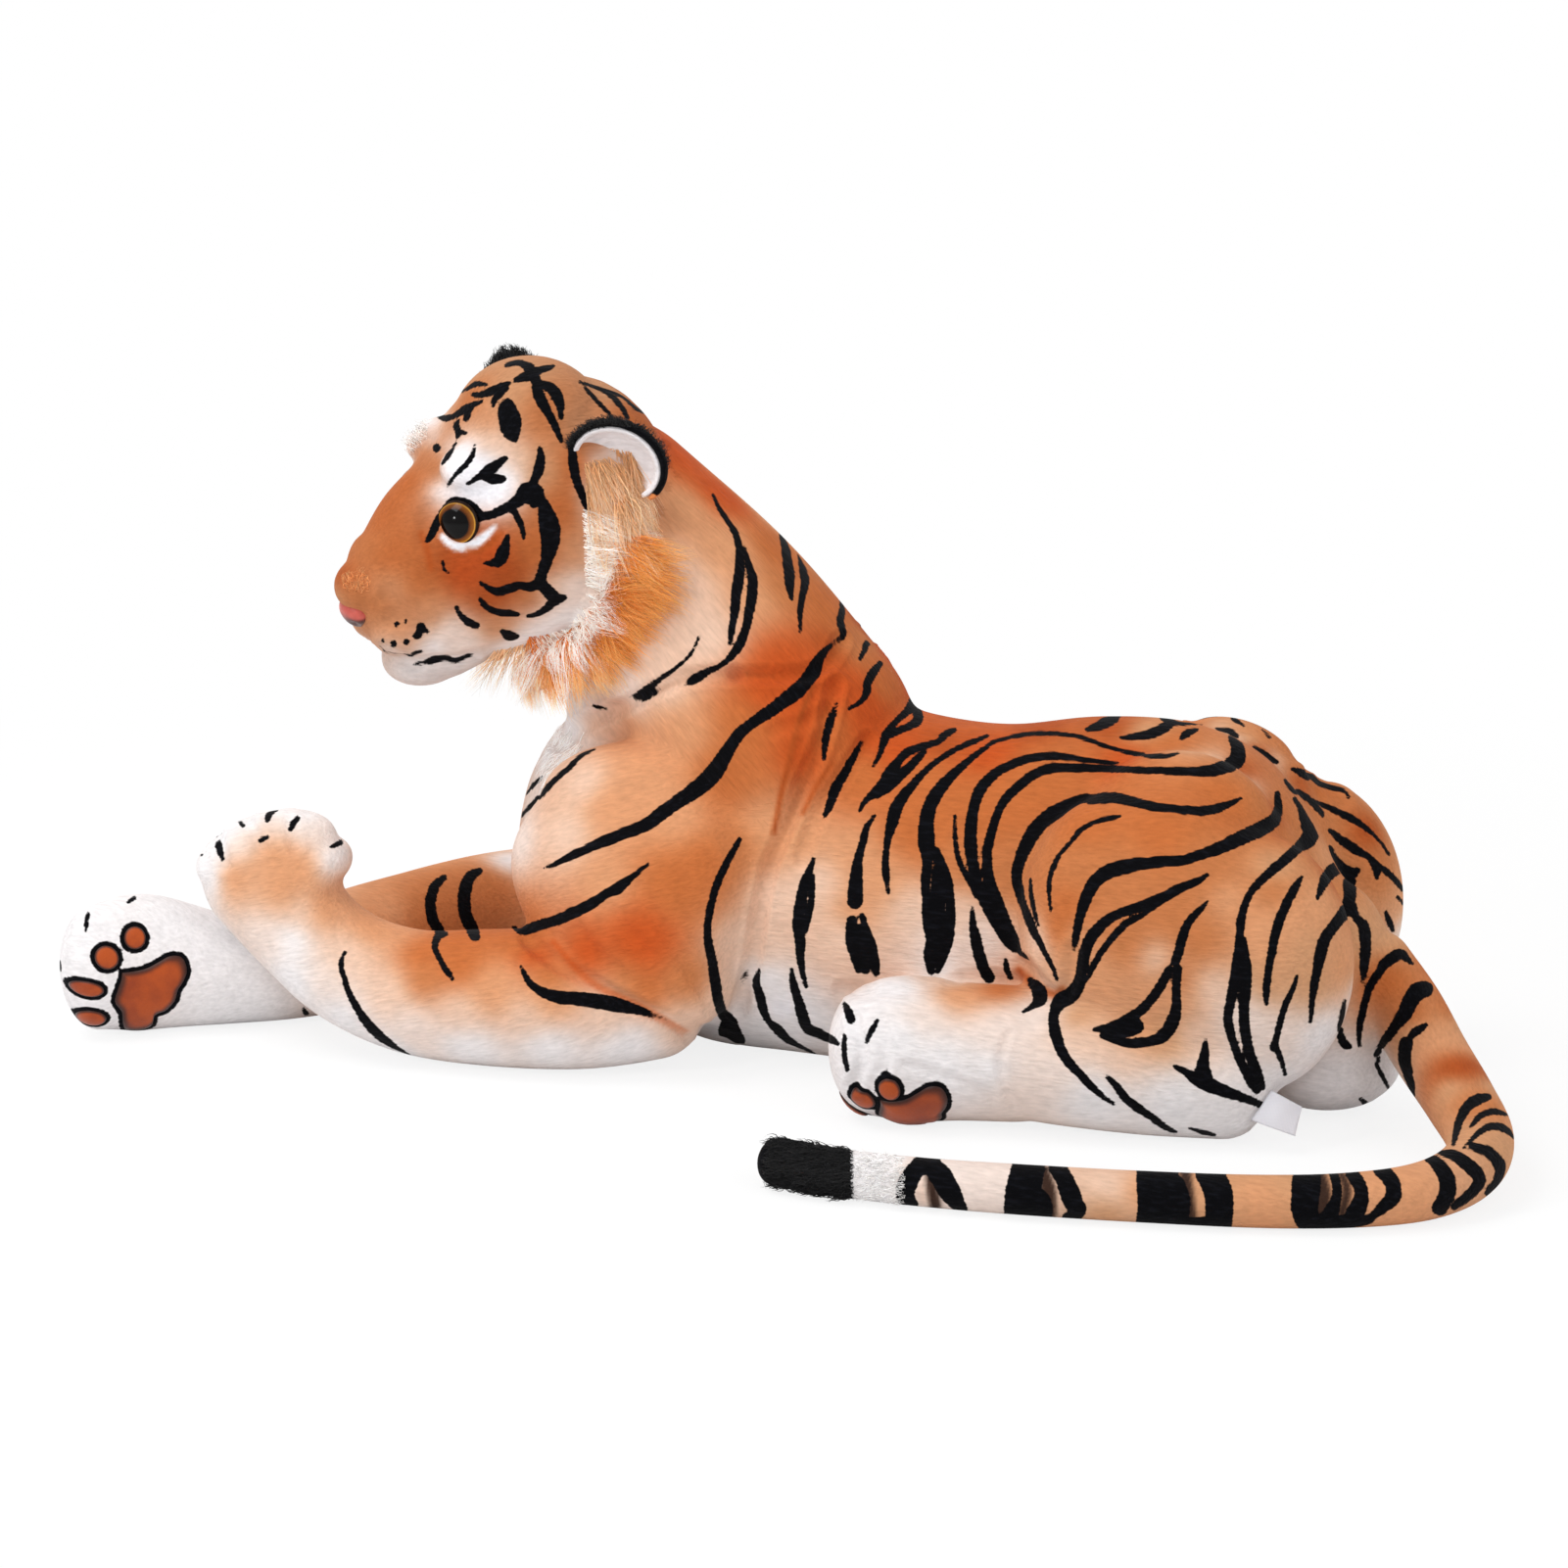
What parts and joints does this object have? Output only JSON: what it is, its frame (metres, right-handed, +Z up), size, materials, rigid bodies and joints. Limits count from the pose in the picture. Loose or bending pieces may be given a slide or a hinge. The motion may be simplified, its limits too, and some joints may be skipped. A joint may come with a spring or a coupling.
{
  "type": "plush tiger",
  "caption": "Large stuffed toy tiger lying with its head up, one forepaw raised and its tail curled forward; soft covers over stuffing, sewn joints that bend, plastic eyes",
  "frame": {"origin": "on the floor under the belly, on the tiger's middle plane, where the belly rests flat", "axes": "the tiger lies along X and faces -X, its left side is towards -Y, +Z is up"},
  "size_m": [0.8908, 0.3978, 0.4198],
  "materials": {
    "orange_plush": "short-pile printed plush, orange with black stripes and white undersides",
    "stuffing": "loose polyester fibre filling",
    "ruff_fur": "long-pile fur, cream to ochre",
    "black_plush": "short black plush",
    "white_plush": "short white plush",
    "eye_plastic": "clear amber plastic with a black pupil, polished",
    "washer_plastic": "moulded nylon",
    "nose_flock": "flocked pink",
    "pad_cloth": "smooth brown cloth with dark edges",
    "label_ribbon": "white satin ribbon, blank"
  },
  "bodies": {
    "torso": {"torso_cover": "orange_plush", "torso_stuffing": "stuffing", "hind_left_leg_cover": "orange_plush", "hind_left_leg_stuffing": "stuffing", "hind_right_leg_cover": "orange_plush", "hind_right_leg_stuffing": "stuffing", "care_label": "label_ribbon"},
    "neck": {"neck_cover": "orange_plush", "neck_stuffing": "stuffing"},
    "head": {"head_cover": "orange_plush", "head_stuffing": "stuffing", "eye_left": "eye_plastic", "eye_washer_left": "washer_plastic", "eye_right": "eye_plastic", "eye_washer_right": "washer_plastic", "nose": "nose_flock", "nose_washer": "washer_plastic", "cheek_ruff_left": "ruff_fur", "cheek_ruff_right": "ruff_fur"},
    "ear_left": {"ear_left_back": "black_plush", "ear_left_lining": "white_plush"},
    "ear_right": {"ear_right_back": "black_plush", "ear_right_lining": "white_plush"},
    "foreleg_left": {"foreleg_left_cover": "orange_plush", "foreleg_left_stuffing": "stuffing", "foreleg_left_palm_pad": "pad_cloth", "foreleg_left_pad_1": "pad_cloth", "foreleg_left_pad_2": "pad_cloth", "foreleg_left_pad_3": "pad_cloth", "foreleg_left_pad_4": "pad_cloth"},
    "foreleg_right": {"foreleg_right_cover": "orange_plush", "foreleg_right_stuffing": "stuffing", "foreleg_right_palm_pad": "pad_cloth", "foreleg_right_pad_1": "pad_cloth", "foreleg_right_pad_2": "pad_cloth", "foreleg_right_pad_3": "pad_cloth", "foreleg_right_pad_4": "pad_cloth"},
    "hind_left_foot": {"hind_left_foot_cover": "orange_plush", "hind_left_foot_stuffing": "stuffing", "hind_left_foot_palm_pad": "pad_cloth", "hind_left_foot_pad_1": "pad_cloth", "hind_left_foot_pad_2": "pad_cloth", "hind_left_foot_pad_3": "pad_cloth", "hind_left_foot_pad_4": "pad_cloth"},
    "hind_right_foot": {"hind_right_foot_cover": "orange_plush", "hind_right_foot_stuffing": "stuffing", "hind_right_foot_palm_pad": "pad_cloth", "hind_right_foot_pad_1": "pad_cloth", "hind_right_foot_pad_2": "pad_cloth", "hind_right_foot_pad_3": "pad_cloth", "hind_right_foot_pad_4": "pad_cloth"},
    "tail_root": {"tail_root_cover": "orange_plush", "tail_root_stuffing": "stuffing"},
    "tail_middle": {"tail_middle_cover": "orange_plush", "tail_middle_stuffing": "stuffing"},
    "tail_tip": {"tail_tip_cover": "orange_plush", "tail_tip_stuffing": "stuffing"}
  },
  "joints": [
    {"name": "neck_bend", "type": "hinge", "parent": "torso", "child": "neck", "pos_m": [-0.05481, 0, 0.18998], "axis": [0, 1, 0], "range_deg": [-5, 5], "stiffness_Nm_per_rad": 30, "springref_deg": 0.86},
    {"name": "head_turn", "type": "hinge", "parent": "neck", "child": "head", "pos_m": [-0.17169, 0, 0.31888], "axis": [-0.6717, 0, 0.7408], "range_deg": [-12, 12], "stiffness_Nm_per_rad": 8},
    {"name": "ear_left_fold", "type": "hinge", "parent": "head", "child": "ear_left", "pos_m": [-0.13862, -0.06747, 0.36069], "axis": [0.916, 0.2087, -0.3427], "range_deg": [-10, 10], "stiffness_Nm_per_rad": 0.05},
    {"name": "ear_right_fold", "type": "hinge", "parent": "head", "child": "ear_right", "pos_m": [-0.23522, 0.00183, 0.38407], "axis": [-0.058, -0.9773, 0.2037], "range_deg": [-10, 10], "stiffness_Nm_per_rad": 0.05},
    {"name": "foreleg_left_lift", "type": "hinge", "parent": "torso", "child": "foreleg_left", "pos_m": [-0.1101, -0.06192, 0.1403], "axis": [0, 1, 0], "range_deg": [0, 12], "stiffness_Nm_per_rad": 15},
    {"name": "foreleg_right_swing", "type": "hinge", "parent": "torso", "child": "foreleg_right", "pos_m": [-0.1101, 0.06192, 0.1403], "axis": [0, 0, 1], "range_deg": [-12, 0], "stiffness_Nm_per_rad": 15},
    {"name": "hind_left_foot_lift", "type": "hinge", "parent": "torso", "child": "hind_left_foot", "pos_m": [0.1233, -0.09438, 0.04368], "axis": [0, 1, 0], "range_deg": [0, 10], "stiffness_Nm_per_rad": 4},
    {"name": "hind_right_foot_lift", "type": "hinge", "parent": "torso", "child": "hind_right_foot", "pos_m": [0.1233, 0.09438, 0.04368], "axis": [0, 1, 0], "range_deg": [0, 10], "stiffness_Nm_per_rad": 4},
    {"name": "tail_root_swing", "type": "hinge", "parent": "torso", "child": "tail_root", "pos_m": [0.30887, 0, 0.08736], "axis": [0, 0, 1], "range_deg": [0, 35], "stiffness_Nm_per_rad": 4},
    {"name": "tail_middle_swing", "type": "hinge", "parent": "tail_root", "child": "tail_middle", "pos_m": [0.38747, -0.09976, 0.02537], "axis": [0, 0, 1], "range_deg": [0, 20], "stiffness_Nm_per_rad": 2},
    {"name": "tail_tip_swing", "type": "hinge", "parent": "tail_middle", "child": "tail_tip", "pos_m": [0.16337, -0.22968, 0.01546], "axis": [0, 0, 1], "range_deg": [0, 20], "stiffness_Nm_per_rad": 1}
  ]
}
